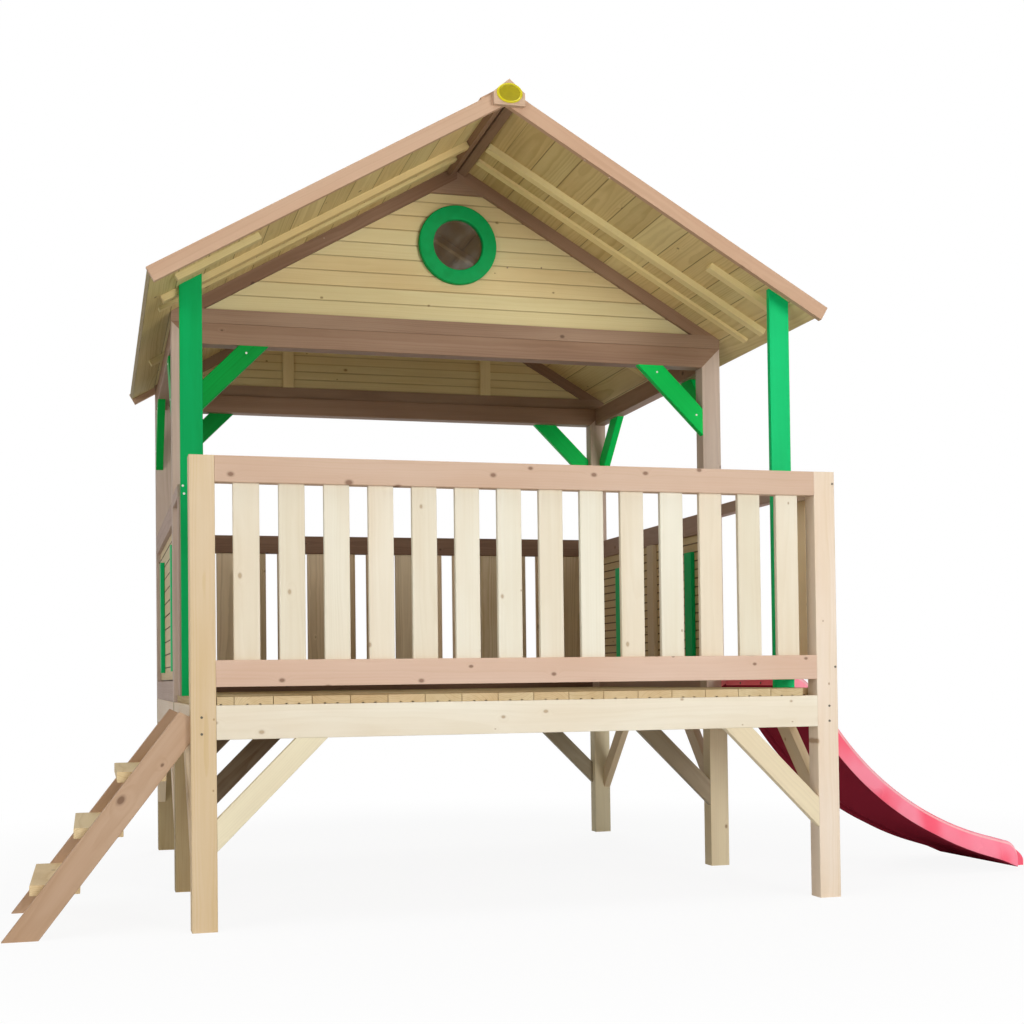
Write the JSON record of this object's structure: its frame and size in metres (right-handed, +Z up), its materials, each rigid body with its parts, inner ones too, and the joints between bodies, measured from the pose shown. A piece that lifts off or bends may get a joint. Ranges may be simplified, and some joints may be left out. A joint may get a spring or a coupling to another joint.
{
  "type": "playhouse",
  "caption": "Raised timber playhouse with a board roof, half-height walls, a railed balcony, a short ladder and a moulded slide.",
  "frame": {"origin": "centre of the bounding box's base, on the ground under the platform", "axes": "+X from the ladder side to the slide side, +Y from the balcony front to the house rear, +Z up"},
  "size_m": [3.2658, 2.1898, 2.4653],
  "materials": {
    "natural_wood": "planed softwood, clear oil",
    "deck_wood": "planed softwood deck boards, clear oil",
    "stained_rail": "planed softwood with a thin pinkish brown stain",
    "brown_stain": "brown stain",
    "siding_wood": "tongued boards, golden oil",
    "roof_wood": "roof boards, olive brown oil",
    "green_paint": "satin green paint on softwood",
    "slide_plastic": "glossy red moulded plastic",
    "window_pane": "hazy clear sheet",
    "badge_plastic": "yellow moulded plastic",
    "steel": "zinc plated"
  },
  "bodies": {
    "root": {"front_posts": "natural_wood", "short_posts": "natural_wood", "cross_beams": "natural_wood", "side_beams": "natural_wood", "floor_joist": "natural_wood", "cross_knee_braces": "natural_wood", "side_knee_braces": "natural_wood", "railing_slats": "natural_wood", "left_side_slat": "natural_wood", "right_side_slat": "natural_wood", "right_side_rails": "natural_wood", "wall_battens": "natural_wood", "gable_battens": "natural_wood", "ladder_treads": "natural_wood", "deck_boards": "deck_wood", "railing_top_rail": "stained_rail", "railing_bottom_rail": "stained_rail", "left_handrail": "stained_rail", "right_handrail": "stained_rail", "front_bargeboards": "stained_rail", "ladder_stringers": "stained_rail", "wall_sills": "stained_rail", "wall_bottom_rails": "stained_rail", "house_corner_posts": "brown_stain", "front_portal_rail": "brown_stain", "rear_portal_rail": "brown_stain", "side_top_rails": "brown_stain", "rear_wall_slats": "brown_stain", "rear_wall_top_rail": "brown_stain", "rear_wall_bottom_rail": "brown_stain", "front_gable_rail": "brown_stain", "front_gable_rafters": "brown_stain", "front_gable_apex_block": "brown_stain", "rear_gable_rail": "brown_stain", "rear_gable_rafters": "brown_stain", "rear_gable_apex_block": "brown_stain", "ridge_battens": "brown_stain", "rear_bargeboards": "brown_stain", "ridge_caps": "brown_stain", "apex_plaque": "brown_stain", "left_wall_siding": "siding_wood", "right_wall_siding": "siding_wood", "front_gable_siding": "siding_wood", "rear_gable_siding": "siding_wood", "left_roof_boards": "roof_wood", "right_roof_boards": "roof_wood", "roof_battens": "roof_wood", "left_roof_post": "green_paint", "right_roof_post": "green_paint", "portal_corner_braces": "green_paint", "side_corner_braces": "green_paint", "left_wall_green_boards": "green_paint", "right_wall_green_boards": "green_paint", "window_ring": "green_paint", "slide": "slide_plastic", "window_pane": "window_pane", "badge": "badge_plastic", "screws": "steel"}
  },
  "joints": []
}
